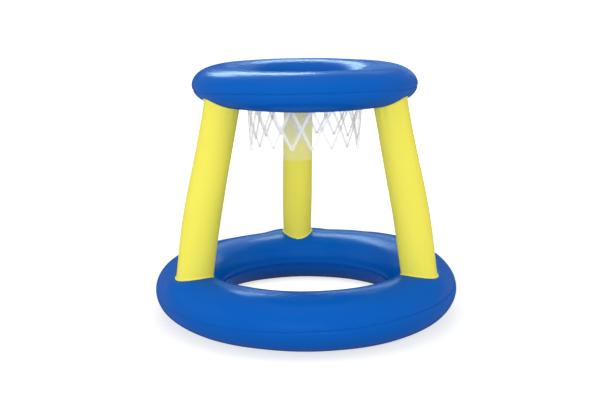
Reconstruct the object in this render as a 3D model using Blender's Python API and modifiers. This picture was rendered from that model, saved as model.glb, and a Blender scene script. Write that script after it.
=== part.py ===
# Floating basketball hoop, in metres, +Z up, with its origin on the floor under the middle of the hoop.
# An inflated base ring carries three inflated posts, and they carry an inflated hoop ring with a net.
# Each ring is two thin vinyl sheets, welded along an outer and an inner seam. Each post is one rolled
# vinyl tube with a weld lip at either end. The net is a clear film sleeve with white strands on it.
# Each of the two air chambers has a push-in valve: a flange, a sliding stem, a tethered cap and a flap.
import math

import bmesh
import bpy
import numpy as np
from mathutils import Matrix, Vector

OBJECT_NAME = "floating_basketball_hoop"

# Vinyl sheet and welds
SHEET_WALL = 0.0003
WELD_GAP = 0.0003
OUTER_NOTCH = 0.0015
OUTER_LIP = 0.005
INNER_LIP = 0.004
MERGE_LIMIT = 0.00002
CUT_OVERRUN = 0.02

# Base ring
BASE_OUTER_RADIUS = 0.3065
BASE_TUBE_WIDTH = 0.1312
BASE_TUBE_HEIGHT = 0.106
BASE_FLOOR_BAND = 0.026
BASE_UPPER_STEPS = 84
BASE_LOWER_STEPS = 44
BASE_UPPER_ARC_SEGMENTS = 12
BASE_LOWER_ARC_SEGMENTS = 8

# Hoop ring
TOTAL_HEIGHT = 0.5008
HOOP_OUTER_RADIUS = 0.2225
HOOP_TUBE_WIDTH = 0.112
HOOP_TUBE_HEIGHT = 0.0732
HOOP_STEPS = 36
HOOP_ARC_SEGMENTS = 8
SEAM_START_DEG = 5.0

# Posts, each with its turn round the hoop. An outset is how far its axis lies outside the middle of a
# tube, where it passes the base ring's crown and the hoop ring's underside.
POST_TURNS_DEG = {"post_back": 94.5, "post_left": 208.5, "post_right": 333.0}
POST_DIAMETER = 0.0672
POST_FOOT_OUTSET = 0.0036
POST_HEAD_OUTSET = 0.0174
POST_FOOT_LIP = 0.0035
POST_FOOT_FILLET = 0.004
POST_HEAD_LIP = 0.0025
POST_HEAD_FILLET = 0.0015
POST_FILLET_BENDS_DEG = (0.0, 45.0, 90.0)
POST_SIDES = 28
POST_WALL_ROWS = 4
AIR_PORT_DIAMETER = 0.012

# Each foot leans in, so its weld draws the outer side of the base ring's upper sheet part of the way up
# to a level a little above the crown. This fades out past the weld, by the outer seam and inside the crown.
SEAT_RISE = 0.0015
SEAT_DRAW_SHARE = 0.55
SEAT_TURNOVER = 0.05
SEAT_MIDDLE_SHARE = 0.5
SEAT_MARGIN = 0.003
SEAT_FADE = 0.038
SEAT_SHOULDER_SHARE = 0.6
SEAT_PASSES = 12

# Net: a film sleeve that is welded to the hoop just under its inner seam
NET_FILM_WALL = 0.0002
NET_LENGTH = 0.1367
NET_BOTTOM_RADIUS = 0.109
NET_HEM_START_DEG = 9.0
NET_HEM_END_DEG = 25.0
NET_HEM_SEGMENTS = 2
NET_MESHES = 18
NET_TURN_DEG = 6.9
NET_ROW_PITCH = 0.039
NET_KNOT_ROWS = 3
NET_STRAND_WIDTH = 0.003
NET_STRAND_WALL = 0.0004

# Air valves
VALVE_FLANGE_RADIUS = 0.014
VALVE_FLANGE_WALL = 0.0008
VALVE_COLLAR_WALL = 0.001
VALVE_COLLAR_DEPTH = 0.0035
STEM_RADIUS = 0.0045
STEM_BORE_RADIUS = 0.0031
STEM_LENGTH = 0.0172
STEM_RIM_RADIUS = 0.0062
STEM_RIM_WALL = 0.0012
RUNNING_GAP = 0.0003
TETHER_ARM = 0.0095
TETHER_WIDTH = 0.005
TETHER_TAB_END = 0.0017
CAP_HEAD_RADIUS = 0.0055
CAP_HEAD_WALL = 0.0011
CAP_PULL_LIP = 0.0022
CAP_PULL_LIP_SHARPNESS = 6
PLUG_ROOT_RADIUS = 0.0028
PLUG_TIP_RADIUS = 0.0015
PLUG_LENGTH = 0.005
FLAP_RADIUS = 0.004
FLAP_WALL = 0.0006
VALVE_SIDES = 20
VALVE_AZIMUTH_DEG = 60.0
BASE_VALVE_CLIMB_DEG = 40.0
HOOP_VALVE_CLIMB_DEG = 38.0
FLANGE_RING_SHARES = (1.0, 0.7)

# How finely a line is searched for the place where it meets a ring
SEARCH_STEPS = 240
HALVINGS = 40

# Which side of an open surface its wall grows to
INWARD = -1
OUTWARD = 1

# Each finish: its colour, roughness and opacity. Faces that meet at less than the limit shade as one.
FINISHES = {
    "blue_vinyl": ((0.003, 0.1, 0.49), 0.22, 1.0),
    "yellow_vinyl": ((0.8, 0.76, 0.11), 0.35, 1.0),
    "clear_net_film": ((0.9, 0.93, 0.96), 0.15, 0.35),
    "white_net_strand": ((0.88, 0.89, 0.9), 0.4, 1.0),
    "soft_valve_vinyl": ((0.72, 0.78, 0.82), 0.3, 1.0),
}
SMOOTH_LIMIT_DEG = 40.0

UP = np.array([0.0, 0.0, 1.0])


class Ring:
    """An inflated ring. Its section is an ellipse round the tube's centre, cut flat where it rests."""

    def __init__(self, outer_radius, tube_width, tube_height, level, floor_band=0.0):
        self.half_width = tube_width / 2
        self.centre = outer_radius - self.half_width
        self.half_height = tube_height / 2
        self.level = level
        self.floor_half_band = floor_band / 2
        band_share = self.floor_half_band / self.half_width
        self.low_half_height = self.half_height / math.sqrt(1 - band_share**2)

    def point(self, degrees):
        """Radius and height on the section. 0 is the outer seam, 90 the crown and 180 the inner seam."""
        angle = math.radians(degrees)
        height = self.half_height if math.sin(angle) >= 0 else self.low_half_height
        radius = self.centre + self.half_width * math.cos(angle)
        return radius, self.level + height * math.sin(angle)

    def normal(self, degrees):
        """The section's outward normal, as its radial and its upward part."""
        angle = math.radians(degrees)
        height = self.half_height if math.sin(angle) >= 0 else self.low_half_height
        across, upward = math.cos(angle) / self.half_width, math.sin(angle) / height
        size = math.hypot(across, upward)
        return across / size, upward / size

    def depth(self, points, clearance):
        """Below 0 inside the section grown by the clearance, 0 on it and above 0 outside."""
        radius = np.hypot(points[..., 0], points[..., 1])
        rise = points[..., 2] - self.level
        height = np.where(rise >= 0, self.half_height, self.low_half_height)
        across = (radius - self.centre) / (self.half_width + clearance)
        return across**2 + (rise / (height + clearance)) ** 2 - 1


BASE = Ring(BASE_OUTER_RADIUS, BASE_TUBE_WIDTH, BASE_TUBE_HEIGHT, BASE_TUBE_HEIGHT / 2, BASE_FLOOR_BAND)
HOOP = Ring(HOOP_OUTER_RADIUS, HOOP_TUBE_WIDTH, HOOP_TUBE_HEIGHT, TOTAL_HEIGHT - HOOP_TUBE_HEIGHT / 2)


def clear_scene():
    for obj in list(bpy.data.objects):
        bpy.data.objects.remove(obj, do_unlink=True)


def new_collection(name):
    collection = bpy.data.collections.new(name)
    bpy.context.scene.collection.children.link(collection)
    return collection


def material(name):
    color, roughness, alpha = FINISHES[name]
    made = bpy.data.materials.new(name)
    made.use_nodes = True
    shader = made.node_tree.nodes["Principled BSDF"]
    shader.inputs["Base Color"].default_value = (*color, 1.0)
    shader.inputs["Roughness"].default_value = roughness
    shader.inputs["Metallic"].default_value = 0.0
    shader.inputs["Alpha"].default_value = alpha
    return made


def new_object(name, mesh, collection, finish=None):
    obj = bpy.data.objects.new(name, mesh)
    collection.objects.link(obj)
    if finish:
        mesh.materials.append(finish)
    return obj


def hide_helper(obj):
    obj.hide_render = True
    obj.display_type = "WIRE"
    return obj


def shade_round(mesh):
    mesh.shade_smooth()
    mesh.set_sharp_from_angle(angle=math.radians(SMOOTH_LIMIT_DEG))


def add_screw(obj, steps):
    screw = obj.modifiers.new("turn", "SCREW")
    screw.steps = steps
    screw.render_steps = steps
    screw.use_merge_vertices = True
    screw.merge_threshold = MERGE_LIMIT
    screw.use_smooth_shade = True


def add_wall(obj, wall, side):
    """Thickens an open surface, to its inner side or its outer side."""
    solid = obj.modifiers.new("wall", "SOLIDIFY")
    solid.thickness = wall
    solid.offset = side
    solid.use_even_offset = True


def add_boolean(obj, operation, other):
    boolean = obj.modifiers.new(f"{operation.lower()} {other.name}", "BOOLEAN")
    boolean.operation = operation
    boolean.solver = "EXACT"
    boolean.object = other


def profile_mesh(name, profile, closed=False):
    """A line of (radius, height) points in the XZ plane, for a Screw modifier to turn."""
    count = len(profile)
    edges = [(i, i + 1) for i in range(count - 1)]
    if closed:
        edges.append((count - 1, 0))
    mesh = bpy.data.meshes.new(name)
    mesh.from_pydata([(radius, 0.0, height) for radius, height in profile], edges, [])
    return mesh


def grid_mesh(name, rows, closed_rows=False):
    """A surface through rows of points. Each row goes round, and the rows may close on the first."""
    count, sides = rows.shape[:2]
    last = count if closed_rows else count - 1
    faces = []
    for row in range(last):
        above = (row + 1) % count
        for side in range(sides):
            after = (side + 1) % sides
            low, high = row * sides, above * sides
            faces.append((low + side, low + after, high + after, high + side))
    mesh = bpy.data.meshes.new(name)
    mesh.from_pydata(rows.reshape(-1, 3).tolist(), [], faces)
    shade_round(mesh)
    return mesh


def cylinder_mesh(name, bottom_radius, top_radius, low, high, axis=UP):
    """A closed cylinder or cone between two places on an axis through the origin."""
    mesh = bpy.data.meshes.new(name)
    cage = bmesh.new()
    bmesh.ops.create_cone(
        cage,
        cap_ends=True,
        segments=VALVE_SIDES,
        radius1=bottom_radius,
        radius2=top_radius,
        depth=high - low,
    )
    bmesh.ops.translate(cage, vec=(0, 0, (low + high) / 2), verts=cage.verts)
    turn = Vector((0, 0, 1)).rotation_difference(Vector(axis)).to_matrix()
    bmesh.ops.rotate(cage, matrix=turn, verts=cage.verts)
    cage.to_mesh(mesh)
    cage.free()
    shade_round(mesh)
    return mesh


def meet_ring(ring, starts, heading, reach):
    """Where lines from the starts, which lie inside the ring, leave it for the last time."""
    along = np.linspace(0.0, reach, SEARCH_STEPS)
    probes = starts[:, None, :] + along[None, :, None] * heading
    outside = ring.depth(probes, WELD_GAP)
    inside_last = SEARCH_STEPS - 1 - np.argmax(outside[:, ::-1] < 0, axis=1)
    never = ~(outside < 0).any(axis=1)
    inside_last = np.where(never, np.argmin(outside, axis=1), inside_last)
    low = along[inside_last]
    high = np.minimum(low + along[1], reach)
    for _ in range(HALVINGS):
        middle = (low + high) / 2
        within = ring.depth(starts + middle[:, None] * heading, WELD_GAP) < 0
        low = np.where(within, middle, low)
        high = np.where(within, high, middle)
    low = np.where(never, along[inside_last], low)
    return starts + low[:, None] * heading


def ring_sheet(name, ring, upper, steps, segments, finish, collection):
    """Half a ring: from its inside-out outer weld, over the tube, to the inner weld lip in the hole."""
    sign = 1 if upper else -1
    half_gap = WELD_GAP / 2
    crease = ring.centre + ring.half_width - OUTER_NOTCH
    hole = ring.centre - ring.half_width
    outer_level = ring.level + sign * half_gap
    inner_level = ring.level + sign * (half_gap + SHEET_WALL)
    profile = [(crease - OUTER_LIP, outer_level), (crease, outer_level)]
    degrees = np.linspace(SEAM_START_DEG, 180 - SEAM_START_DEG, segments + 1)
    if not upper and ring.floor_half_band:
        band = 90 - math.degrees(math.asin(ring.floor_half_band / ring.half_width))
        sides = np.linspace(SEAM_START_DEG, band, segments // 2 + 1)
        degrees = np.concatenate([sides, 180 - sides[::-1]])
    profile += [ring.point(sign * angle) for angle in degrees]
    profile += [(hole, inner_level), (hole - INNER_LIP, inner_level)]
    if upper:
        profile.reverse()
    mesh = profile_mesh(name, profile)
    obj = new_object(name, mesh, collection, finish)
    add_screw(obj, steps)
    return obj


def post_axis(azimuth):
    """The foot and head places on a post's axis, its direction, and two directions across it."""
    radial = np.array([math.cos(azimuth), math.sin(azimuth), 0.0])
    foot = radial * (BASE.centre + POST_FOOT_OUTSET) + UP * BASE_TUBE_HEIGHT
    head = radial * (HOOP.centre + POST_HEAD_OUTSET) + UP * (TOTAL_HEIGHT - HOOP_TUBE_HEIGHT)
    heading = (head - foot) / np.linalg.norm(head - foot)
    across = np.cross(UP, radial)
    return foot, head, heading, across, np.cross(across, heading)


def ease(share):
    """Runs smoothly from 0 to 1 as the share does."""
    share = np.clip(share, 0.0, 1.0)
    return share * share * (3 - 2 * share)


def seat_draw(points):
    """How far the sheet under a foot is drawn up: fully outside the crown, and not at all inside it."""
    offset = np.hypot(points[:, 0], points[:, 1]) - BASE.centre
    return SEAT_DRAW_SHARE * ease(offset / SEAT_TURNOVER + SEAT_MIDDLE_SHARE)


def draw_up_seats(sheet):
    """Turns the sheet's Screw into its mesh and draws that mesh up to a seat under each post."""
    bpy.context.view_layer.update()
    mesh = bpy.data.meshes.new_from_object(sheet.evaluated_get(bpy.context.evaluated_depsgraph_get()))
    mesh.name = sheet.name
    sheet.modifiers.clear()
    sheet.data = mesh
    points = np.empty(len(mesh.vertices) * 3)
    mesh.vertices.foreach_get("co", points)
    points = points.reshape(-1, 3)
    shoulder = ease((points[:, 2] - BASE.level) / (SEAT_SHOULDER_SHARE * BASE.half_height))
    seat_radius = POST_DIAMETER / 2 + POST_FOOT_FILLET + POST_FOOT_LIP + SEAT_MARGIN
    for degrees in POST_TURNS_DEG.values():
        offset = points - post_axis(math.radians(degrees))[0]
        distance = np.hypot(offset[:, 0], offset[:, 1])
        weight = seat_draw(points) * shoulder * ease(1 - (distance - seat_radius) / SEAT_FADE)
        points[:, 2] += weight * (BASE_TUBE_HEIGHT + SEAT_RISE - points[:, 2])
    mesh.vertices.foreach_set("co", points.ravel())
    mesh.update()


def post_rows(azimuth):
    """Rows round a post: a weld lip on the base ring, a fillet, the wall, and the same at the hoop."""
    foot, head, heading, across, outward = post_axis(azimuth)
    turns = np.linspace(0, 2 * math.pi, POST_SIDES, endpoint=False)
    spokes = np.cos(turns)[:, None] * outward + np.sin(turns)[:, None] * across
    post_radius = POST_DIAMETER / 2
    middle = (foot + head) / 2

    def foot_row(radius, rise):
        places = foot + radius * spokes
        for _ in range(SEAT_PASSES):
            across_share = (np.hypot(places[:, 0], places[:, 1]) - BASE.centre) / BASE.half_width
            level = BASE.level + BASE.half_height * np.sqrt(1 - across_share**2)
            level += seat_draw(places) * (BASE_TUBE_HEIGHT + SEAT_RISE - level) + WELD_GAP
            places = places + ((level - places[:, 2]) / heading[2])[:, None] * heading
        return places + rise * heading

    def head_row(radius, rise):
        starts = middle + radius * spokes
        starts = starts - heading * (starts[:, 2:] - HOOP.level) / heading[2]
        reach = abs(middle[2] - HOOP.level) / heading[2]
        return meet_ring(HOOP, starts, -heading, reach) - rise * heading

    def end_rows(make_row, lip, fillet):
        rows = [make_row(post_radius + fillet + lip, 0.0)]
        for bend in np.radians(POST_FILLET_BENDS_DEG):
            radius = post_radius + fillet * (1 - math.sin(bend))
            rows.append(make_row(radius, fillet * (1 - math.cos(bend))))
        return rows

    low = end_rows(foot_row, POST_FOOT_LIP, POST_FOOT_FILLET)
    high = end_rows(head_row, POST_HEAD_LIP, POST_HEAD_FILLET)[::-1]
    shares = np.linspace(0, 1, POST_WALL_ROWS + 1)[1:-1]
    wall = [low[-1] + share * (high[0] - low[-1]) for share in shares]
    return np.array(low + wall + high)


def make_posts(finish, collection, cutters, hoop_lower):
    """The posts, and the port under each head through which it shares the hoop ring's air."""
    for name, degrees in POST_TURNS_DEG.items():
        azimuth = math.radians(degrees)
        post = new_object(name, grid_mesh(name, post_rows(azimuth)), collection, finish)
        add_wall(post, SHEET_WALL, OUTWARD)
        head, heading = post_axis(azimuth)[1:3]
        radius = AIR_PORT_DIAMETER / 2
        port_name = f"{name}_port_cutter"
        mesh = cylinder_mesh(port_name, radius, radius, -CUT_OVERRUN, CUT_OVERRUN, heading)
        port = hide_helper(new_object(port_name, mesh, cutters))
        port.location = head
        add_boolean(hoop_lower, "DIFFERENCE", port)


def net_profile():
    """Radius and height down the film sleeve: over the hoop's lower inner wall, then hanging free."""
    degrees = np.linspace(NET_HEM_START_DEG, NET_HEM_END_DEG, NET_HEM_SEGMENTS + 1)
    points = []
    for angle in degrees:
        radius, height = HOOP.point(180 + angle)
        across, upward = HOOP.normal(180 + angle)
        points.append((radius + WELD_GAP * across, height + WELD_GAP * upward))
    points.append((NET_BOTTOM_RADIUS, HOOP.level - NET_LENGTH))
    return points


def make_net_film(finish, collection):
    film = new_object("net_film", profile_mesh("net_film", net_profile()), collection, finish)
    film.rotation_euler.z = math.radians(NET_TURN_DEG)
    add_screw(film, 2 * NET_MESHES)
    add_wall(film, NET_FILM_WALL, INWARD)


def make_net_strands(finish, collection):
    """White strands on the film's outer face: rows of knots, half a mesh apart, and strands between."""
    top, bottom = net_profile()[-2:]
    lean = (bottom[0] - top[0]) / (bottom[1] - top[1])
    half_mesh = math.pi / NET_MESHES
    clearance = WELD_GAP
    half_chord = math.cos(half_mesh / 2)

    def place(turn, height):
        # Between two facet corners the film is flat, so the radius dips there.
        radius = top[0] + lean * (height - top[1]) + clearance / half_chord
        local = (turn + half_mesh) % half_mesh - half_mesh / 2
        radius = radius * half_chord / math.cos(local)
        return (radius * math.cos(turn), radius * math.sin(turn), height)

    run = half_mesh * NET_BOTTOM_RADIUS
    slope = math.hypot(run, NET_ROW_PITCH)
    half_turn = NET_STRAND_WIDTH / 2 * slope / NET_ROW_PITCH / NET_BOTTOM_RADIUS
    half_rise = NET_STRAND_WIDTH / 2 * slope / run
    points, faces = [], []
    knots = {}
    for row in range(1, NET_KNOT_ROWS + 1):
        height = HOOP.level - row * NET_ROW_PITCH
        for column in range(NET_MESHES):
            turn = (2 * column + (row + NET_KNOT_ROWS + 1) % 2) * half_mesh
            first = len(points)
            # The knot's right, upper, left and lower corner
            points.append(place(turn + half_turn, height))
            points.append(place(turn, height + half_rise))
            points.append(place(turn - half_turn, height))
            points.append(place(turn, height - half_rise))
            faces.append((first, first + 1, first + 2, first + 3))
            knots[row, round(turn / half_mesh) % (2 * NET_MESHES)] = first
    stub_top = top[1] - NET_STRAND_WIDTH
    stub_share = (stub_top - (HOOP.level - NET_ROW_PITCH)) / NET_ROW_PITCH
    for (row, spot), first in knots.items():
        right = knots.get((row - 1, (spot + 1) % (2 * NET_MESHES)))
        left = knots.get((row - 1, (spot - 1) % (2 * NET_MESHES)))
        if right is not None:
            faces.append((first + 0, right + 3, right + 2, first + 1))
            faces.append((first + 1, left + 0, left + 3, first + 2))
            continue
        for way in (1, -1):
            tip = (spot + way * stub_share) * half_mesh
            end = len(points)
            points.append(place(tip + half_turn, stub_top))
            points.append(place(tip - half_turn, stub_top))
            corners = (first, end, end + 1, first + 1) if way > 0 else (first + 1, end, end + 1, first + 2)
            faces.append(corners)
    mesh = bpy.data.meshes.new("net_strands")
    mesh.from_pydata(points, [], faces)
    strands = new_object("net_strands", mesh, collection, finish)
    strands.rotation_euler.z = math.radians(NET_TURN_DEG)
    add_wall(strands, NET_STRAND_WALL, OUTWARD)


def valve_frame(ring, climb_degrees):
    """The place on a ring's outside where a valve sits: its Z points out and its X runs round."""
    azimuth = math.radians(VALVE_AZIMUTH_DEG)
    radial = Vector((math.cos(azimuth), math.sin(azimuth), 0))
    around = Vector((-math.sin(azimuth), math.cos(azimuth), 0))
    across, upward = ring.normal(climb_degrees)
    radius, height = ring.point(climb_degrees)
    out = across * radial + upward * Vector((0, 0, 1))
    up_slope = out.cross(around)
    place = radius * radial + height * Vector((0, 0, 1))
    frame = Matrix((around, up_slope, out)).transposed().to_4x4()
    frame.translation = place
    return frame


def flange_rows(ring, frame):
    """The flange's skirt lies on the curved sheet, and its collar reaches in round the stem."""
    turns = np.linspace(0, 2 * math.pi, VALVE_SIDES, endpoint=False)
    spokes = np.stack([np.cos(turns), np.sin(turns)], axis=1)
    axes = np.array(frame.to_3x3())
    origin = np.array(frame.translation)
    bore = STEM_RADIUS + RUNNING_GAP
    collar = bore + VALVE_COLLAR_WALL

    def skirt(radius, rise):
        local = np.concatenate([radius * spokes, np.full((VALVE_SIDES, 1), -ring.half_height / 2)], axis=1)
        starts = origin + local @ axes.T
        met = meet_ring(ring, starts, axes[:, 2], ring.half_height)
        return (met - origin) @ axes + np.array([0, 0, rise])

    def level(radius, height):
        return np.concatenate([radius * spokes, np.full((VALVE_SIDES, 1), height)], axis=1)

    radii = [share * VALVE_FLANGE_RADIUS for share in FLANGE_RING_SHARES]
    rows = [skirt(radius, 0.0) for radius in radii]
    rows.append(level(collar, WELD_GAP))
    rows.append(level(collar, -VALVE_COLLAR_DEPTH))
    rows.append(level(bore, -VALVE_COLLAR_DEPTH))
    rows.append(level(bore, WELD_GAP + VALVE_FLANGE_WALL))
    rows += [skirt(radius, VALVE_FLANGE_WALL) for radius in reversed(radii)]
    return np.array(rows)[::-1]


def flat_outline_mesh(name, outline, low, high, collection):
    """A flat outline as a filled 2D curve between two heights, made a mesh with its caps welded."""
    curve = bpy.data.curves.new(f"{name}_outline", "CURVE")
    curve.dimensions = "2D"
    curve.fill_mode = "BOTH"
    curve.extrude = (high - low) / 2
    spline = curve.splines.new("POLY")
    spline.points.add(len(outline) - 1)
    for point, (x, y) in zip(spline.points, outline):
        point.co = (x, y, 0, 1)
    spline.use_cyclic_u = True
    guide = bpy.data.objects.new(f"{name}_outline", curve)
    collection.objects.link(guide)
    bpy.context.view_layer.update()
    mesh = bpy.data.meshes.new_from_object(guide.evaluated_get(bpy.context.evaluated_depsgraph_get()))
    mesh.name = name
    cage = bmesh.new()
    cage.from_mesh(mesh)
    bmesh.ops.remove_doubles(cage, verts=cage.verts, dist=MERGE_LIMIT)
    bmesh.ops.translate(cage, vec=(0, 0, (low + high) / 2), verts=cage.verts)
    cage.to_mesh(mesh)
    cage.free()
    bpy.data.objects.remove(guide, do_unlink=True)
    return mesh


def cap_outline():
    """The cap's head from above, in its hinge's frame: a disc with a pull lip, and the tether strap."""
    strap = TETHER_WIDTH / 2
    start = math.asin(strap / CAP_HEAD_RADIUS)
    turns = np.linspace(start, 2 * math.pi - start, VALVE_SIDES)
    reach = CAP_HEAD_RADIUS + CAP_PULL_LIP * np.maximum(0, -np.cos(turns)) ** CAP_PULL_LIP_SHARPNESS
    disc = [(size * math.cos(turn) - TETHER_ARM, size * math.sin(turn)) for size, turn in zip(reach, turns)]
    return disc + [(0.0, -strap), (0.0, strap)]


def make_valve(name, ring, climb_degrees, sheet, finish, collection, cutters):
    """One push-in valve. Its stem slides along Z of the seat, and the cap and flap turn about their Y."""
    frame = valve_frame(ring, climb_degrees)
    seat = bpy.data.objects.new(f"{name}_seat", None)
    seat.matrix_world = frame
    collection.objects.link(seat)

    def seated(part_name, mesh, place=(0, 0, 0), where=collection, made=finish):
        obj = new_object(f"{name}_{part_name}", mesh, where, made)
        obj.parent = seat
        obj.location = place
        return obj

    bore = STEM_RADIUS + RUNNING_GAP
    hole_radius = bore + VALVE_COLLAR_WALL + WELD_GAP
    hole_mesh = cylinder_mesh(f"{name}_hole", hole_radius, hole_radius, -CUT_OVERRUN, CUT_OVERRUN)
    hole = hide_helper(seated("hole_cutter", hole_mesh, where=cutters, made=None))
    add_boolean(sheet, "DIFFERENCE", hole)
    seated("flange", grid_mesh(f"{name}_flange", flange_rows(ring, frame), closed_rows=True))

    rim_low = WELD_GAP + VALVE_FLANGE_WALL + RUNNING_GAP
    rim_top = rim_low + STEM_RIM_WALL
    foot = rim_top - STEM_LENGTH
    stem_profile = [
        (STEM_BORE_RADIUS, rim_top),
        (STEM_RIM_RADIUS, rim_top),
        (STEM_RIM_RADIUS, rim_low),
        (STEM_RADIUS, rim_low),
        (STEM_RADIUS, foot),
        (STEM_BORE_RADIUS, foot),
    ]
    stem = seated("stem", profile_mesh(f"{name}_stem", stem_profile, closed=True))
    add_screw(stem, VALVE_SIDES)
    tab_start = (STEM_BORE_RADIUS + STEM_RIM_RADIUS) / 2
    tab_end = TETHER_ARM + TETHER_TAB_END
    strap = TETHER_WIDTH / 2
    tab_outline = [(tab_start, -strap), (tab_end, -strap), (tab_end, strap), (tab_start, strap)]
    tab_mesh = flat_outline_mesh(f"{name}_tab", tab_outline, rim_low, rim_top, cutters)
    add_boolean(stem, "UNION", hide_helper(seated("tab_blank", tab_mesh, where=cutters, made=None)))

    hinge_height = rim_top + RUNNING_GAP + CAP_HEAD_WALL / 2
    half_head = CAP_HEAD_WALL / 2
    hinge = (TETHER_ARM, 0, hinge_height)
    cap_mesh = flat_outline_mesh(f"{name}_cap", cap_outline(), -half_head, half_head, cutters)
    cap = seated("cap", cap_mesh, hinge)
    plug_mesh = cylinder_mesh(f"{name}_plug", PLUG_TIP_RADIUS, PLUG_ROOT_RADIUS, -PLUG_LENGTH - half_head, 0)
    plug_place = (0, 0, hinge_height)
    add_boolean(cap, "UNION", hide_helper(seated("plug_blank", plug_mesh, plug_place, cutters, None)))
    barrel_mesh = cylinder_mesh(f"{name}_barrel", half_head, half_head, -strap, strap, (0, 1, 0))
    add_boolean(cap, "UNION", hide_helper(seated("barrel_blank", barrel_mesh, hinge, cutters, None)))

    flap_top = foot - RUNNING_GAP
    flap_mesh = cylinder_mesh(f"{name}_flap", FLAP_RADIUS, FLAP_RADIUS, -FLAP_WALL, 0)
    flap_mesh.transform(Matrix.Translation((FLAP_RADIUS, 0, 0)))
    seated("flap", flap_mesh, (-FLAP_RADIUS, 0, flap_top))


def main():
    clear_scene()
    collection = new_collection(OBJECT_NAME)
    cutters = new_collection("cutters")
    blue, yellow, film, white, valve_vinyl = [material(name) for name in FINISHES]

    def sheet(name, ring, upper, steps, segments):
        return ring_sheet(name, ring, upper, steps, segments, blue, collection)

    base_upper = sheet("base_ring_upper_sheet", BASE, True, BASE_UPPER_STEPS, BASE_UPPER_ARC_SEGMENTS)
    base_lower = sheet("base_ring_lower_sheet", BASE, False, BASE_LOWER_STEPS, BASE_LOWER_ARC_SEGMENTS)
    hoop_upper = sheet("hoop_ring_upper_sheet", HOOP, True, HOOP_STEPS, HOOP_ARC_SEGMENTS)
    hoop_lower = sheet("hoop_ring_lower_sheet", HOOP, False, HOOP_STEPS, HOOP_ARC_SEGMENTS)
    draw_up_seats(base_upper)
    for ring_half in (base_upper, base_lower, hoop_upper, hoop_lower):
        add_wall(ring_half, SHEET_WALL, INWARD)
    make_posts(yellow, collection, cutters, hoop_lower)
    make_net_film(film, collection)
    make_net_strands(white, collection)
    make_valve("base_valve", BASE, BASE_VALVE_CLIMB_DEG, base_upper, valve_vinyl, collection, cutters)
    make_valve("hoop_valve", HOOP, HOOP_VALVE_CLIMB_DEG, hoop_upper, valve_vinyl, collection, cutters)


main()
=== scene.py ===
import math

import bpy
import numpy as np
from mathutils import Euler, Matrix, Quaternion, Vector


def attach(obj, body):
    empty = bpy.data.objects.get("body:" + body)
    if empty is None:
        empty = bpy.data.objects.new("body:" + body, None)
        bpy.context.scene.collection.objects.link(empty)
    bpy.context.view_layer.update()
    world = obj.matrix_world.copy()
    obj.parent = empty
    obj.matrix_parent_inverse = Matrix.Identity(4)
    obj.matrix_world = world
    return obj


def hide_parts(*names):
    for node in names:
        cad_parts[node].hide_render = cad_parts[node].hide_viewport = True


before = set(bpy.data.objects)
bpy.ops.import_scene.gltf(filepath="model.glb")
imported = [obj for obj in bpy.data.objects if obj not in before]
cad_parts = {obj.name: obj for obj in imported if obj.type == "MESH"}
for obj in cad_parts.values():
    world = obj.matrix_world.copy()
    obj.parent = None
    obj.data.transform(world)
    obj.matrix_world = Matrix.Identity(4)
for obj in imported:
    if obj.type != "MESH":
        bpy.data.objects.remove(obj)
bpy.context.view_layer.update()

up = np.array([0.0, 0.0, 1.0])
right = np.array([1.0, 0.0, 0.0])
print("frame loaded:", len(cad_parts), "nodes")

# Sheet, welds and the two rings
vinyl = {"wall": 0.0003, "weldGap": 0.0003}
baseRing = {
    "outerRadius": 0.3065, "tubeWidth": 0.1312, "tubeHeight": 0.106, "level": 0.053,
    "floorBand": 0.026, "steps": 640, "rows": 52,
    "notch": 0.0009, "notchLean": 0.9, "notchWidth": 0.0019, "innerFall": 0.009,
    "outerPucker": 0.0002, "outerReach": 0.009, "innerPucker": 0.00025, "innerReach": 0.010,
    "swell": 0.0005, "seamWave": 0.0006, "seed": 11,
    "seamRise": (0.00175, 0.0085, 0.00175),
}
hoopRing = {
    "outerRadius": 0.2225, "tubeWidth": 0.112, "tubeHeight": 0.0732, "level": 0.4642,
    "floorBand": 0.0, "steps": 560, "rows": 48,
    "notch": 0.0012, "notchLean": 0.0, "notchWidth": 0.0019, "innerFall": 0.0,
    "outerPucker": 0.0002, "outerReach": 0.008, "innerPucker": 0.00025, "innerReach": 0.009,
    "swell": 0.0004, "seamWave": 0.0006, "seed": 23,
    "seamRise": (-0.0022, 0.003, -0.0045),
}
weldLips = {"outer": 0.005, "inner": 0.004}
# For both rings: the least and most waves that go round, how much the notch varies, how the rows pack
# towards the seams, and over what length the swell fades beside them. Round a hole, the sheet lies calm
# to a number of its radii and eases in over the reach, and the cut goes no deeper than its own number.
ringDetail = {
    "seamWaves": (4, 19), "outerWaves": (60, 130), "innerWaves": (30, 70), "swellWaves": (2, 11),
    "notchWaves": (3, 14), "notchSpread": 0.3, "rowPacking": 0.75, "swellFade": 0.03,
    "calmRadii": 2, "calmReach": 0.03, "cutRadii": 4,
}
for ring in (baseRing, hoopRing):
    ring["halfWidth"] = ring["tubeWidth"] / 2
    ring["centre"] = ring["outerRadius"] - ring["halfWidth"]
    ring["halfHeight"] = ring["tubeHeight"] / 2
    bandShare = ring["floorBand"] / ring["tubeWidth"]
    ring["lowHalfHeight"] = ring["halfHeight"] / math.sqrt(1 - bandShare**2)

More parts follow.
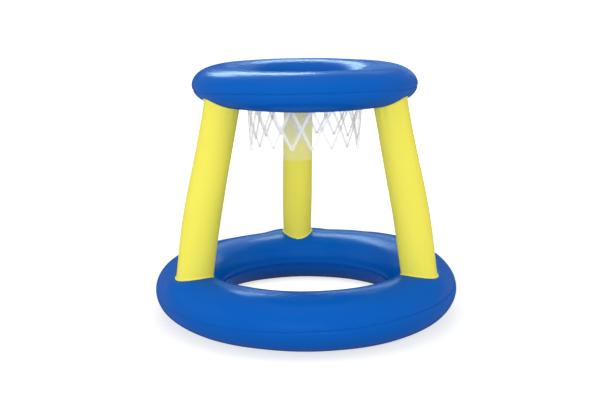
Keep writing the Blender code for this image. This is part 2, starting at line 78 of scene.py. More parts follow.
# Posts. An oval gives the radius's shares outward from the hoop's middle and sideways, a shift goes
# along X, and a bow goes outward, mostly in the lower half.
posts = {
    "turns": {"post_back": 94.5, "post_left": 208.5, "post_right": 333.0},
    "radius": 0.0336, "footOutset": 0.0036, "headOutset": 0.0174, "portRadius": 0.006,
    "footOvals": {"post_back": (1.22, 0.93), "post_left": (1.07, 0.95), "post_right": (1.04, 0.93)},
    "headOvals": {"post_back": (0.99, 0.93), "post_left": (1.02, 0.97), "post_right": (0.98, 0.93)},
    "footShifts": {"post_back": 0.0, "post_left": 0.0, "post_right": 0.0015},
    "headShifts": {"post_back": 0.0, "post_left": 0.0030, "post_right": 0.0},
    "bows": {"post_back": 0.002, "post_left": 0.0045, "post_right": 0.0040},
    "bulge": 0.0014, "bowLean": 0.7,
    "sides": 160, "wallRows": 90, "filletRows": 7, "lipRows": 3, "lipInner": 0.55,
    "seatRounds": 14, "probeReach": 0.15, "probes": 1200,
    "footLip": 0.0024, "footFlare": 0.0045, "footClear": 0.008,
    "headLip": 0.0034, "headFlare": 0.005, "headClear": 0.006,
    "footPucker": 0.00055, "footReach": 0.013, "footWaves": (9, 26),
    "headPucker": 0.0012, "headReach": 0.018, "headWaves": (5, 17),
    "swell": 0.0006, "swellWaves": (1, 4), "swellLength": 0.06, "swellFade": 0.05,
    "lapHeight": 0.00035, "lapWidth": 0.005, "lapEdge": 0.0008,
    "lapTurns": {"post_back": 0.0, "post_left": 180.0, "post_right": 180.0},
}
# The base ring's crown stands higher or lower here and there: the turn, half spread and height of each
# part. Each foot also draws the sheet up to a seat.
crownParts = ((35.0, 28.0, 0.0065), (125.0, 32.0, -0.0055))
seat = {
    "rise": 0.0015, "draw": 0.55, "turnover": 0.05, "radius": 0.0441, "fade": 0.038, "shoulder": 0.6,
}

# Net
net = {
    "filmWall": 0.0002, "length": 0.1367, "bottomRadius": 0.109, "hemDegrees": (9.0, 25.0),
    "steps": 360, "hemRows": 6, "rows": 34,
    "fold": 0.0016, "foldGrowth": 1.3, "foldWaves": (3, 9), "seed": 5,
    "meshes": 18, "firstTip": 16.9, "rowPitch": 0.039, "knotRows": 3, "knotSwell": 0.45,
    "knotReach": 0.0028, "strandWidth": 0.0056, "strandHeight": 0.0005, "strandEdge": 0.00005,
    "strandGap": 0.00003, "strandDrop": 0.001, "strandRows": 44, "sectionPoints": 5,
    "sharpDegrees": 60,
}

# Valves: their turn round the hoop, and how far up its tube each one sits
valves = {
    "azimuth": 60.0,
    "climb": {"base_valve": 40.0, "hoop_valve": 38.0},
    "holeRadius": 0.0085,
}


def ease(share):
    # Runs smoothly from 0 to 1: three times the square less twice the cube.
    share = np.clip(share, 0.0, 1.0)
    return share * share * (3 - 2 * share)


def waves(turn, lowest, highest, seed, other=0.0, otherHighest=0, count=10):
    # A sum of cosines with whole waves round a full turn, at drawn sizes and phases, about -1 to 1.
    draw = np.random.default_rng(seed)
    counts = draw.integers(lowest, highest + 1, count)
    otherCounts = draw.integers(0, otherHighest + 1, count)
    phases = draw.uniform(0, 2 * np.pi, count)
    sizes = draw.uniform(0.4, 1.0, count)
    phase = turn[..., None] * counts + np.asarray(other)[..., None] * otherCounts + phases
    return 1.7 * (np.cos(phase) @ sizes) / sizes.sum()


def gridFaces(rows, columns, closeRows, closeColumns):
    # Four corners for each cell of a grid whose points are stored row by row.
    row = np.arange(rows if closeRows else rows - 1)[:, None]
    column = np.arange(columns if closeColumns else columns - 1)[None, :]
    nextRow = (row + 1) % rows
    nextColumn = (column + 1) % columns
    corners = [
        row * columns + column,
        row * columns + nextColumn,
        nextRow * columns + nextColumn,
        nextRow * columns + column,
    ]
    return np.stack(corners, axis=-1).reshape(-1, 4)


def meshFrom(name, points, faces, sharpDegrees=50):
    # Fills a mesh from whole arrays, leaving out the points that no face uses.
    used, faces = np.unique(faces, return_inverse=True)
    faces = faces.reshape(-1, 4)
    points = points.reshape(-1, 3)[used]
    mesh = bpy.data.meshes.new(name)
    mesh.vertices.add(len(points))
    mesh.vertices.foreach_set("co", points.astype(np.float32).ravel())
    mesh.loops.add(faces.size)
    mesh.loops.foreach_set("vertex_index", faces.astype(np.int32).ravel())
    mesh.polygons.add(len(faces))
    mesh.polygons.foreach_set("loop_start", np.arange(0, faces.size, 4, dtype=np.int32))
    mesh.update(calc_edges=True)
    mesh.validate()
    mesh.shade_smooth()
    mesh.set_sharp_from_angle(angle=math.radians(sharpDegrees))
    return mesh


def faceOutward(points, faces, outward):
    # Turns the faces round where their cross products point against the given directions.
    flat = points.reshape(-1, 3)
    corners = flat[faces]
    normals = np.cross(corners[:, 2] - corners[:, 0], corners[:, 3] - corners[:, 1])
    agreement = np.sum(normals * outward.reshape(-1, 3)[faces[:, 0]])
    return faces if agreement > 0 else faces[:, ::-1]


def newPiece(name, mesh, finish, replaced):
    # Every drawn piece rides on the inflated body and stands for one node.
    piece = bpy.data.objects.new(name, mesh)
    bpy.context.scene.collection.objects.link(piece)
    mesh.materials.append(finish)
    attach(piece, "inflated_frame")
    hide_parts(replaced)
    return piece


def addWall(piece, wall, side):
    # The wall grows to the inner side with -1 and to the outer side with 1.
    solid = piece.modifiers.new("wall", "SOLIDIFY")
    solid.thickness = wall
    solid.offset = side
    solid.use_even_offset = False


def ringPlace(ring, degrees):
    # The section is an ellipse: 0 is the outer seam, 90 the crown and 180 the inner seam.
    angle = np.radians(degrees)
    rise = np.where(np.sin(angle) >= 0, ring["halfHeight"], ring["lowHalfHeight"])
    radius = ring["centre"] + ring["halfWidth"] * np.cos(angle)
    normal = np.stack([np.cos(angle) / ring["halfWidth"], np.sin(angle) / rise], axis=-1)
    normal = normal / np.linalg.norm(normal, axis=-1, keepdims=True)
    return radius, ring["level"] + rise * np.sin(angle), normal


def valveHole(name, ring):
    # The hole for a valve: its place on the ring, the way out of the tube there, and its radius.
    azimuth = math.radians(valves["azimuth"])
    radial = np.array([math.cos(azimuth), math.sin(azimuth), 0.0])
    radius, height, normal = ringPlace(ring, np.array(valves["climb"][name]))
    outward = normal[0] * radial + normal[1] * up
    return radius * radial + height * up, outward, valves["holeRadius"]


def postAxis(name):
    # Where a post's axis starts and ends, then its direction, and the ways sideways and outward.
    azimuth = math.radians(posts["turns"][name])
    radial = np.array([math.cos(azimuth), math.sin(azimuth), 0.0])
    foot = radial * (baseRing["centre"] + posts["footOutset"]) + up * baseRing["tubeHeight"]
    foot = foot + posts["footShifts"][name] * right
    hoopUnderside = hoopRing["level"] - hoopRing["halfHeight"]
    head = radial * (hoopRing["centre"] + posts["headOutset"]) + up * hoopUnderside
    head = head + posts["headShifts"][name] * right
    heading = (head - foot) / np.linalg.norm(head - foot)
    across = np.cross(up, radial)
    return foot, head, heading, across, np.cross(across, heading)


def crownOffset(turn, height):
    # How far the base ring's crown stands off its level ellipse: a few wide bells round the turn,
    # fading to nothing at the outer seam and at the same height in the hole.
    offset = 0
    for middle, spread, size in crownParts:
        apart = (np.degrees(turn) - middle + 180) % 360 - 180
        offset = offset + size * np.exp(-((apart / spread) ** 2))
    seamRise = seamRiseAt(baseRing, turn)
    return offset * ease((height - seamRise) / (baseRing["halfHeight"] - seamRise))


def seamRiseAt(ring, turn):
    # How far the outer seam stands over the ring's middle: evenly, once round and twice round.
    even, once, twice = ring["seamRise"]
    return even + once * np.cos(turn) + twice * np.cos(2 * turn)


def seatDraw(points):
    # How far a foot draws the sheet up: fully outside the crown, and not at all inside it.
    offset = np.hypot(points[..., 0], points[..., 1]) - baseRing["centre"]
    return seat["draw"] * ease(offset / seat["turnover"] + 0.5)


def ringSheet(name, ring, upper, finish, replaced, holes):
    # Half a ring as a grid: the turn round the ring, and the angle over the tube's section from the
    # outer seam to the inner one, with rows packed towards both. The outer seam wanders up and down.
    # Small waves press the sheet in and out beside the seams, as a weld gathers it. Near each hole the
    # sheet keeps to the plain ellipse, so that what is welded there lies on it.
    side = 1 if upper else -1
    turn = np.linspace(0, 2 * np.pi, ring["steps"], endpoint=False)[:, None]
    share = np.linspace(0, 1, ring["rows"])[None, :]
    seed = ring["seed"]
    seamWave = ring["seamWave"] * waves(turn, *ringDetail["seamWaves"], seed + 5)
    seam = np.arcsin((seamRiseAt(ring, turn) + seamWave) / ring["halfHeight"])
    innerSeam = side * np.pi + math.asin(ring["innerFall"] / ring["lowHalfHeight"])
    packed = share - ringDetail["rowPacking"] * np.sin(2 * np.pi * share) / (2 * np.pi)
    angle = seam + (innerSeam - seam) * packed
    rise = np.where(np.sin(angle) >= 0, ring["halfHeight"], ring["lowHalfHeight"])
    fromOuter = rise * np.abs(angle - seam)
    fromInner = rise * np.abs(innerSeam - angle)
    across = np.cos(angle) / ring["halfWidth"]
    upward = np.sin(angle) / rise
    size = np.hypot(across, upward)
    outerWaves = waves(turn, *ringDetail["outerWaves"], seed)
    push = ring["outerPucker"] * np.exp(-fromOuter / ring["outerReach"]) * outerWaves
    innerWaves = waves(turn, *ringDetail["innerWaves"], seed + 1)
    push = push + ring["innerPucker"] * np.exp(-fromInner / ring["innerReach"]) * innerWaves
    away = ease(fromOuter / ringDetail["swellFade"]) * ease(fromInner / ringDetail["swellFade"])
    swellWaves = waves(turn, *ringDetail["swellWaves"], seed + 2 + side, angle, 2)
    push = push + ring["swell"] * away * swellWaves
    plainRadius = ring["centre"] + ring["halfWidth"] * np.cos(angle)
    plainLevel = ring["level"] + rise * np.sin(angle)
    plain = np.stack([plainRadius * np.cos(turn), plainRadius * np.sin(turn), plainLevel], axis=-1)
    calm = 1.0
    for place, _, holeRadius in holes:
        fromHole = np.linalg.norm(plain - place, axis=-1)
        start = ringDetail["calmRadii"] * holeRadius
        calm = calm * ease((fromHole - start) / ringDetail["calmReach"])
    push = push * calm
    notchWaves = waves(turn, *ringDetail["notchWaves"], seed + 7)
    evenness = 1 + ring["notchLean"] * np.cos(turn) + ringDetail["notchSpread"] * notchWaves
    notch = ring["notch"] * evenness * np.exp(-((fromOuter / ring["notchWidth"]) ** 2))
    radius = plainRadius - notch + push * across / size
    # Half the weld gap off the seam's level, and from the crown to the inner seam a wall more
    gap = vinyl["weldGap"] / 2 + vinyl["wall"] * ease(2 * np.abs(angle) / np.pi - 1)
    level = plainLevel + push * upward / size + side * gap
    if upper and ring is baseRing:
        level = level + calm * crownOffset(turn, level - ring["level"])

    # A lip inside the tube at the outer seam, and one in the hole at the inner seam
    crease = radius[:, :1] - weldLips["outer"]
    hole = radius[:, -1:] - weldLips["inner"]
    radius = np.concatenate([crease, radius, hole], axis=1)
    level = np.concatenate([level[:, :1], level, level[:, -1:]], axis=1)
    points = np.stack([radius * np.cos(turn), radius * np.sin(turn), level], axis=-1)
    if upper and ring is baseRing:
        aboveSeam = points[..., 2] - ring["level"] - seamRiseAt(ring, turn)
        shoulder = ease(aboveSeam / (seat["shoulder"] * ring["halfHeight"]))
        top = ring["tubeHeight"] + seat["rise"]
        for post in posts["turns"]:
            offset = points - postAxis(post)[0]
            distance = np.hypot(offset[..., 0], offset[..., 1])
            nearFoot = ease(1 - (distance - seat["radius"]) / seat["fade"])
            weight = seatDraw(points) * shoulder * nearFoot
            points[..., 2] += weight * (top - points[..., 2])
    if ring["floorBand"]:
        points[..., 2] = np.maximum(points[..., 2], 0.0)

    centreX, centreY = ring["centre"] * np.cos(turn), ring["centre"] * np.sin(turn)
    outward = points - np.stack([centreX, centreY, 0 * turn + ring["level"]], axis=-1)
    faces = gridFaces(ring["steps"], points.shape[1], True, False)
    faces = faceOutward(points, faces, outward)
    middles = points.reshape(-1, 3)[faces].mean(axis=1)
    for place, direction, holeRadius in holes:
        offset = middles - place
        reach = np.linalg.norm(np.cross(offset, direction), axis=1)
        near = np.linalg.norm(offset, axis=1) < ringDetail["cutRadii"] * holeRadius
        cut = near & (reach < holeRadius)
        faces, middles = faces[~cut], middles[~cut]
    piece = newPiece(name, meshFrom(name, points, faces), finish, replaced)
    addWall(piece, vinyl["wall"], -1)


def seatLevel(points):
    # Height of the drawn-up base ring under a foot, which is the ellipse's crown pulled part way up.
    share = (np.hypot(points[..., 0], points[..., 1]) - baseRing["centre"]) / baseRing["halfWidth"]
    height = baseRing["halfHeight"] * np.sqrt(np.clip(1 - share**2, 0, 1))
    turn = np.arctan2(points[..., 1], points[..., 0])
    level = baseRing["level"] + height + crownOffset(turn, height)
    return level + seatDraw(points) * (baseRing["tubeHeight"] + seat["rise"] - level) + vinyl["weldGap"]


def onSeat(points):
    points = points.copy()
    points[..., 2] = seatLevel(points)
    return points


def onHoop(points):
    # Moves points straight from the tube's middle onto the hoop's ellipse, grown by the weld gap.
    radius = np.hypot(points[..., 0], points[..., 1])
    across = (radius - hoopRing["centre"]) / (hoopRing["halfWidth"] + vinyl["weldGap"])
    upward = (points[..., 2] - hoopRing["level"]) / (hoopRing["lowHalfHeight"] + vinyl["weldGap"])
    scale = 1 / np.hypot(across, upward)
    newRadius = hoopRing["centre"] + (radius - hoopRing["centre"]) * scale
    moved = points * (newRadius / radius)[..., None]
    moved[..., 2] = hoopRing["level"] + (points[..., 2] - hoopRing["level"]) * scale
    return moved


def hoopDepth(points):
    # Below 0 inside the hoop's section grown by the weld gap, and above 0 outside it.
    radius = np.hypot(points[..., 0], points[..., 1])
    across = (radius - hoopRing["centre"]) / (hoopRing["halfWidth"] + vinyl["weldGap"])
    upward = (points[..., 2] - hoopRing["level"]) / (hoopRing["lowHalfHeight"] + vinyl["weldGap"])
    return across**2 + upward**2 - 1


def weldRows(curve, spread, wallStart, snap, lip, flare):
    # From the lip's edge over a fillet to the wall: the lip lies on the ring, and the fillet is a
    # quadratic curve from the lip's inner part, drawn to the weld line, to a place up the wall.
    lipShares = np.linspace(1, posts["lipInner"], posts["lipRows"])[:, None, None]
    lipPart = snap(curve + lipShares * lip * spread)
    bend = np.linspace(0, 1, posts["filletRows"])[1:, None, None]
    upTheWall = curve + flare * wallStart
    fillet = (1 - bend) ** 2 * lipPart[-1] + 2 * bend * (1 - bend) * curve + bend**2 * upTheWall
    return np.concatenate([lipPart, fillet])


def makePost(name, finish):
    # A tube along its leaning axis: its wall is straight between the two weld lines, where it meets the
    # base ring's seat and the hoop's underside. Small waves gather it near both welds.
    foot, head, heading, across, outward = postAxis(name)
    turn = np.linspace(0, 2 * np.pi, posts["sides"], endpoint=False)
    cosines, sines = np.cos(turn)[:, None], np.sin(turn)[:, None]
    spokes = cosines * outward + sines * across
    ovals = []
    for alongShare, acrossShare in (posts["footOvals"][name], posts["headOvals"][name]):
        ovals.append(alongShare * cosines * outward + acrossShare * sines * across)

    # The low weld line slides along the axis to the seat, and the high one is looked for from inside
    # the hoop's tube down the axis, at the last place that is still in the tube.
    lowLine = foot + posts["radius"] * ovals[0]
    for _ in range(posts["seatRounds"]):
        lowLine = lowLine + ((seatLevel(lowLine) - lowLine[:, 2]) / heading[2])[:, None] * heading
    starts = (foot + head) / 2 + posts["radius"] * ovals[1]
    starts = starts - heading * (starts[:, 2:] - hoopRing["level"]) / heading[2]
    along = np.linspace(0, posts["probeReach"], posts["probes"])
    probes = starts[:, None, :] - along[None, :, None] * heading
    depth = hoopDepth(probes)
    last = depth.shape[1] - 1 - np.argmax(depth[:, ::-1] < 0, axis=1)
    last = np.where((depth < 0).any(axis=1), last, np.argmin(depth, axis=1))
    highLine = starts - along[last][:, None] * heading

    def spreadOf(line, surfaceNormal):
        step = np.roll(line, -1, axis=0) - np.roll(line, 1, axis=0)
        sideways = np.cross(step, surfaceNormal)
        sideways = sideways / np.linalg.norm(sideways, axis=1, keepdims=True)
        return sideways * np.sign(np.sum(sideways * spokes, axis=1, keepdims=True))

    small = 1e-4  # a step to measure the seat's slope by
    slopes = [seatLevel(lowLine + small * axis) - seatLevel(lowLine) for axis in np.eye(3)[:2]]
    lowNormal = np.stack([-slopes[0] / small, -slopes[1] / small, 0 * slopes[0] + 1], axis=1)
    radius = np.hypot(highLine[:, 0], highLine[:, 1])
    inPlane = (radius - hoopRing["centre"]) / hoopRing["halfWidth"] ** 2 / radius
    fall = (highLine[:, 2] - hoopRing["level"]) / hoopRing["lowHalfHeight"] ** 2
    highNormal = np.stack([inPlane * highLine[:, 0], inPlane * highLine[:, 1], fall], axis=1)
    lowSpread, highSpread = spreadOf(lowLine, lowNormal), spreadOf(highLine, highNormal)
    low = weldRows(lowLine, lowSpread, heading, onSeat, posts["footLip"], posts["footFlare"])
    high = weldRows(highLine, highSpread, -heading, onHoop, posts["headLip"], posts["headFlare"])
    shares = np.linspace(0, 1, posts["wallRows"] + 2)[1:-1, None, None]
    wall = low[-1] + shares * (high[-1] - low[-1])
    points = np.concatenate([low, wall, high[::-1]])

    # Waves near the welds, a slow unevenness, and the long lap seam
    fromLow = np.maximum((points - lowLine) @ heading, 0)
    fromHigh = np.maximum((highLine - points) @ heading, 0)
    onWall = ease(fromLow / posts["footClear"]) * ease(fromHigh / posts["headClear"])
    seed = int(posts["turns"][name] * 2)  # one for each post
    grid = np.broadcast_to(turn, fromLow.shape)
    footWaves = waves(grid, *posts["footWaves"], seed)
    gather = posts["footPucker"] * np.exp(-fromLow / posts["footReach"]) * footWaves
    headWaves = waves(grid, *posts["headWaves"], seed + 1)
    gather = gather + posts["headPucker"] * np.exp(-fromHigh / posts["headReach"]) * headWaves
    slow = waves(grid, *posts["swellWaves"], seed + 2, fromLow / posts["swellLength"], 2)
    fade = posts["swellFade"]
    lapTurn = math.radians(posts["lapTurns"][name])
    lapDistance = np.abs((grid - lapTurn + np.pi) % (2 * np.pi) - np.pi) * posts["radius"]
    lap = 1 - ease((lapDistance - posts["lapWidth"] / 2) / posts["lapEdge"])
    push = onWall * (gather + posts["swell"] * slow * ease(fromLow / fade) * ease(fromHigh / fade))
    push = push + onWall * posts["lapHeight"] * lap
    rowShare = fromLow / (fromLow + fromHigh)
    belly = np.sin(np.pi * rowShare ** posts["bowLean"]) ** 2
    push = push + posts["bulge"] * belly
    bow = posts["bows"][name] * belly
    points = points + push[..., None] * spokes + bow[..., None] * outward
    faces = gridFaces(len(points), posts["sides"], False, True)
    faces = faceOutward(points, faces, np.broadcast_to(spokes, points.shape))
    piece = newPiece(f"{name}_vinyl", meshFrom(name, points, faces), finish, name)
    addWall(piece, vinyl["wall"], -1)


def sleevePlace(turn, level):
    # The sleeve's radius falls evenly from the hem's end to the cut edge, and soft folds grow downward.
    topRadius, topLevel, normal = ringPlace(hoopRing, np.array(180 + net["hemDegrees"][1]))
    topRadius = topRadius + vinyl["weldGap"] * normal[0]
    bottomLevel = hoopRing["level"] - net["length"]
    share = np.clip((topLevel - level) / (topLevel - bottomLevel), 0, 1)
    radius = topRadius + (net["bottomRadius"] - topRadius) * share
    foldWaves = waves(turn, *net["foldWaves"], net["seed"], share, 1)
    return radius + net["fold"] * share ** net["foldGrowth"] * foldWaves


def makeSleeve(finish):
    # The film runs down the hoop's lower inner wall as a hem, then hangs free to a cut edge.
    turn = np.linspace(0, 2 * np.pi, net["steps"], endpoint=False)[None, :]
    hem = np.linspace(net["hemDegrees"][0], net["hemDegrees"][1], net["hemRows"])[:, None]
    radius, level, normal = ringPlace(hoopRing, 180 + hem)
    hemRadius = radius + vinyl["weldGap"] * normal[..., 0] + 0 * turn
    hemLevel = level + vinyl["weldGap"] * normal[..., 1] + 0 * turn
    cutEdge = hoopRing["level"] - net["length"]
    levels = np.linspace(hemLevel[-1, 0], cutEdge, net["rows"])[1:, None] + 0 * turn
    hangRadius = sleevePlace(turn + 0 * levels, levels)
    radius = np.concatenate([hemRadius, hangRadius])
    level = np.concatenate([hemLevel, levels])
    points = np.stack([radius * np.cos(turn), radius * np.sin(turn), level], axis=-1)
    faces = gridFaces(len(points), net["steps"], False, True)
    radial = np.stack([np.cos(turn), np.sin(turn), 0 * turn], axis=-1)
    faces = faceOutward(points, faces, np.broadcast_to(radial, points.shape))
    mesh = meshFrom("net_sleeve", points, faces)
    piece = newPiece("net_sleeve", mesh, finish, "net_film")
    addWall(piece, net["filmWall"], -1)


def makeStrands(finish):
    # Each strand is a slanting line on the sleeve, from under the hem to a tip, carried with a
    # rounded section: its height over the film is a half cosine. It swells where two cross.
    halfMesh = math.pi / net["meshes"]
    tipLevel = hoopRing["level"] - net["knotRows"] * net["rowPitch"]
    topLevel = ringPlace(hoopRing, np.array(180 + net["hemDegrees"][1]))[1] - net["strandDrop"]
    level = np.linspace(tipLevel, topLevel, net["strandRows"])[None, None, :, None]
    tips = math.radians(net["firstTip"]) + np.arange(net["meshes"]) * 2 * halfMesh
    ways = np.array([1.0, -1.0])[:, None, None, None]
    rows = (level - tipLevel) / net["rowPitch"]
    fromKnot = (rows - np.round(rows)) * net["rowPitch"]
    nearKnot = np.exp(-((fromKnot / net["knotReach"]) ** 2))
    turn = tips[None, :, None, None] + ways * rows * halfMesh
    across = np.linspace(-1, 1, net["sectionPoints"])[None, None, None, :]
    width = net["strandWidth"] / 2 * (1 + net["knotSwell"] * nearKnot)
    rise = net["strandHeight"] * np.cos(across * np.pi / 2) + net["strandEdge"]
    # Square to the strand on the unrolled sleeve, the offset is part turn and part height.
    run = halfMesh * net["bottomRadius"]
    length = math.hypot(run, net["rowPitch"])
    turnOffset = across * width * net["rowPitch"] / length / net["bottomRadius"]
    levelOffset = -ways * across * width * run / length
    turn = turn + turnOffset
    level = level + levelOffset + 0 * turn
    outer = sleevePlace(turn, level) + rise
    inner = sleevePlace(turn, level) + net["strandGap"] + 0 * rise
    loops = []
    for radius, order in ((outer, slice(None)), (inner, slice(None, None, -1))):
        ring = np.stack([radius * np.cos(turn), radius * np.sin(turn), level], axis=-1)
        loops.append(ring[..., order, :])
    points = np.concatenate(loops, axis=3)
    strandCount = 2 * net["meshes"]
    rowsCount, sides = points.shape[2], points.shape[3]
    points = points.reshape(strandCount, rowsCount, sides, 3)
    wall = gridFaces(rowsCount, sides, False, True)
    lid = np.stack([[i, i + 1, sides - 2 - i, sides - 1 - i] for i in range(sides // 2 - 1)])
    oneStrand = np.concatenate([wall, lid[:, ::-1], lid + (rowsCount - 1) * sides])
    starts = (np.arange(strandCount) * rowsCount * sides)[:, None, None]
    everyFace = oneStrand[None] + starts
    outward = points - points.mean(axis=2, keepdims=True)
    ordered = [faceOutward(points, everyFace[i], outward) for i in range(strandCount)]
    mesh = meshFrom("net_strand_pattern", points, np.concatenate(ordered), net["sharpDegrees"])
    newPiece("net_strand_pattern", mesh, finish, "net_strands")


class Wire:
    # Wraps a node's output, so that sums in Python add Math nodes.
    def __init__(self, nodes, socket):
        self.nodes = nodes
        self.socket = socket

    def sum(self, operation, first, second):
        return self.nodes.node("ShaderNodeMath", {"operation": operation}, {0: first, 1: second})

    def __add__(self, other):
        return self.sum("ADD", self, other)

    def __sub__(self, other):
        return self.sum("SUBTRACT", self, other)

    def __rsub__(self, other):
        return self.sum("SUBTRACT", other, self)

    def __mul__(self, other):
        return self.sum("MULTIPLY", self, other)

    def __rtruediv__(self, other):
        return self.sum("DIVIDE", other, self)

    def atMost(self, other):
        return self.sum("MINIMUM", self, other)

    __radd__ = __add__
    __rmul__ = __mul__


class Nodes:
    # Adds nodes to a material's or world's tree: the settings first, then the sockets' values or links.
    def __init__(self, owner):
        owner.use_nodes = True
        self.tree = owner.node_tree

    def node(self, kind, settings, sockets, output=0):
        made = self.tree.nodes.new(kind)
        for name, value in settings.items():
            setattr(made, name, value)
        for name, value in sockets.items():
            self.join(value, made.inputs[name])
        return Wire(self, made.outputs[output])

    def join(self, value, socket):
        if isinstance(value, Wire):
            self.tree.links.new(value.socket, socket)
        else:
            socket.default_value = value

    def blend(self, share, first, second):
        return self.node("ShaderNodeMix", {"data_type": "RGBA"}, {0: share, 6: first, 7: second}, 2)

    def seenRays(self):
        # 1 for rays from the camera and in gloss or glass, and 0 for light on matt surfaces.
        path = self.node("ShaderNodeLightPath", {}, {}, "Is Camera Ray")
        outputs = path.socket.node.outputs
        return path + Wire(self, outputs["Is Glossy Ray"]) + Wire(self, outputs["Is Transmission Ray"])


class Finish(Nodes):
    # One material: its Principled shader with fixed values, and patterns on Object coordinates.
    def __init__(self, name, values):
        self.material = bpy.data.materials.new(name)
        super().__init__(self.material)
        self.shader = self.tree.nodes["Principled BSDF"]
        for socket, value in values.items():
            self.shader.inputs[socket].default_value = value
        self.place = self.node("ShaderNodeTexCoord", {}, {}, "Object")

    def noise(self, scale, detail=3.0, roughness=0.5):
        sockets = {"Vector": self.place, "Scale": scale, "Detail": detail, "Roughness": roughness}
        return self.node("ShaderNodeTexNoise", {}, sockets, "Fac")

    def ramp(self, share, stops):
        # Grey levels between the stops, each a place from 0 to 1 and its level.
        ramp = self.node("ShaderNodeValToRGB", {}, {0: share})
        elements = ramp.socket.node.color_ramp.elements
        while len(elements) < len(stops):
            elements.new(1.0)
        for element, (position, level) in zip(elements, stops):
            element.position = position
            element.color = (level, level, level, 1)
        return ramp

    def bump(self, height, strength, distance):
        values = {"Strength": strength, "Distance": distance, "Height": height}
        self.set("Normal", self.node("ShaderNodeBump", {}, values))

    def set(self, socket, value):
        self.join(value, self.shader.inputs[socket])


def vinylFinish(name, look):
    # Soft sheet: a little cloudiness in the colour, a fine pebble, and gloss that varies slightly.
    paint = Finish(name, look["shader"])
    fine = paint.noise(pebble["scale"], pebble["detail"], pebble["roughness"])
    cloud = paint.noise(look["cloudScale"], pebble["slowDetail"])
    paint.set("Base Color", paint.blend(cloud, look["color"], look["cloudColor"]))
    paint.set("Roughness", look["roughness"] + pebble["roughnessSpread"] * (fine - 0.5))
    slow = paint.noise(look["slowScale"], pebble["slowDetail"])
    paint.bump(fine * pebble["share"] + slow, pebble["bump"], pebble["bumpDepth"])
    # The gloss is a coat that grows with the angle as on glass, but only to a limit at the rims.
    fresnel = paint.node("ShaderNodeFresnel", {}, {"IOR": look["shader"]["Coat IOR"]})
    paint.set("Coat Weight", (look["glossLimit"] / fresnel).atMost(look["gloss"]))
    return paint.material


# The grain that both vinyls share, then what is their own
pebble = {
    "scale": 900.0, "detail": 3.0, "roughness": 0.6, "share": 0.5, "slowDetail": 2.0,
    "roughnessSpread": 0.06, "bump": 0.05, "bumpDepth": 0.002,
}
blueLook = {
    "shader": {"Specular IOR Level": 0.0, "Coat IOR": 1.5, "Coat Roughness": 0.26},
    "gloss": 0.16, "glossLimit": 0.035, "roughness": 0.24, "slowScale": 45.0,
    "color": (0.0002, 0.092, 0.435, 1), "cloudColor": (0.0004, 0.103, 0.465, 1), "cloudScale": 7.0,
}
yellowLook = {
    "shader": {"Specular IOR Level": 0.0, "Coat IOR": 1.5, "Coat Roughness": 0.3},
    "gloss": 0.25, "glossLimit": 0.02, "roughness": 0.34, "slowScale": 40.0,
    "color": (0.80, 0.74, 0.09, 1), "cloudColor": (0.84, 0.78, 0.11, 1), "cloudScale": 9.0,
}
filmLook = {
    "shader": {"Base Color": (0.84, 0.88, 1.0, 1), "Roughness": 0.2, "Specular IOR Level": 0.2},
    "alpha": 0.06, "alphaSpread": 0.06, "edgeAlpha": 0.4, "edgeBlend": 0.5,
    "hazeScale": 38.0, "rippleScale": 60.0, "bump": 0.25, "bumpDepth": 0.001,
}
strandLook = {
    "shader": {"Base Color": (0.97, 0.97, 0.99, 1), "Specular IOR Level": 0.2, "Alpha": 0.5},
    "roughness": 0.35, "scale": 500.0,
}
valveLook = {"shader": {"Base Color": (0.72, 0.80, 0.86, 1)}, "roughness": 0.3, "scale": 700.0}
plainGrain = {"roughnessSpread": 0.1, "bump": 0.1, "bumpDepth": 0.0005}


def filmFinish(name, look):
    # Clear film with a milky haze that varies a little, and looks denser where it is seen edge on.
    paint = Finish(name, look["shader"])
    edge = paint.node("ShaderNodeLayerWeight", {}, {"Blend": look["edgeBlend"]}, "Facing")
    haze = look["alpha"] + look["alphaSpread"] * paint.noise(look["hazeScale"])
    paint.set("Alpha", haze + look["edgeAlpha"] * (edge * edge * edge))
    paint.bump(paint.noise(look["rippleScale"]), look["bump"], look["bumpDepth"])
    return paint.material


def plainFinish(name, look):
    # One colour, with a fine grain in its gloss and surface.
    paint = Finish(name, look["shader"])
    fine = paint.noise(look["scale"])
    paint.set("Roughness", look["roughness"] + plainGrain["roughnessSpread"] * (fine - 0.5))
    paint.bump(fine, plainGrain["bump"], plainGrain["bumpDepth"])
    return paint.material


blue = vinylFinish("blueVinyl", blueLook)
yellow = vinylFinish("yellowVinyl", yellowLook)
film = filmFinish("clearFilm", filmLook)
strandWhite = plainFinish("strandWhite", strandLook)
valveVinyl = plainFinish("valveVinyl", valveLook)
print("materials made")

# A hole is its place, its direction and its radius: one for each valve, and a port for each post.
baseHoles = [valveHole("base_valve", baseRing)]
hoopHoles = [valveHole("hoop_valve", hoopRing)]
ports = [(postAxis(name)[1], postAxis(name)[2], posts["portRadius"]) for name in posts["turns"]]
for name, ring, upper, holes in (
    ("base_ring_upper", baseRing, True, baseHoles),
    ("base_ring_lower", baseRing, False, []),
    ("hoop_ring_upper", hoopRing, True, hoopHoles),
    ("hoop_ring_lower", hoopRing, False, ports),
):
    ringSheet(f"{name}_vinyl", ring, upper, blue, f"{name}_sheet", holes)
print("rings made")
for name in posts["turns"]:
    makePost(name, yellow)
print("posts made")
makeSleeve(film)
makeStrands(strandWhite)
print("net made")

for valve in ("base_valve", "hoop_valve"):
    for part in ("flange", "stem", "cap", "flap"):
        node = bpy.data.objects[f"{valve}_{part}"]
        node.data.materials.clear()
        node.data.materials.append(valveVinyl)
print("valves finished")

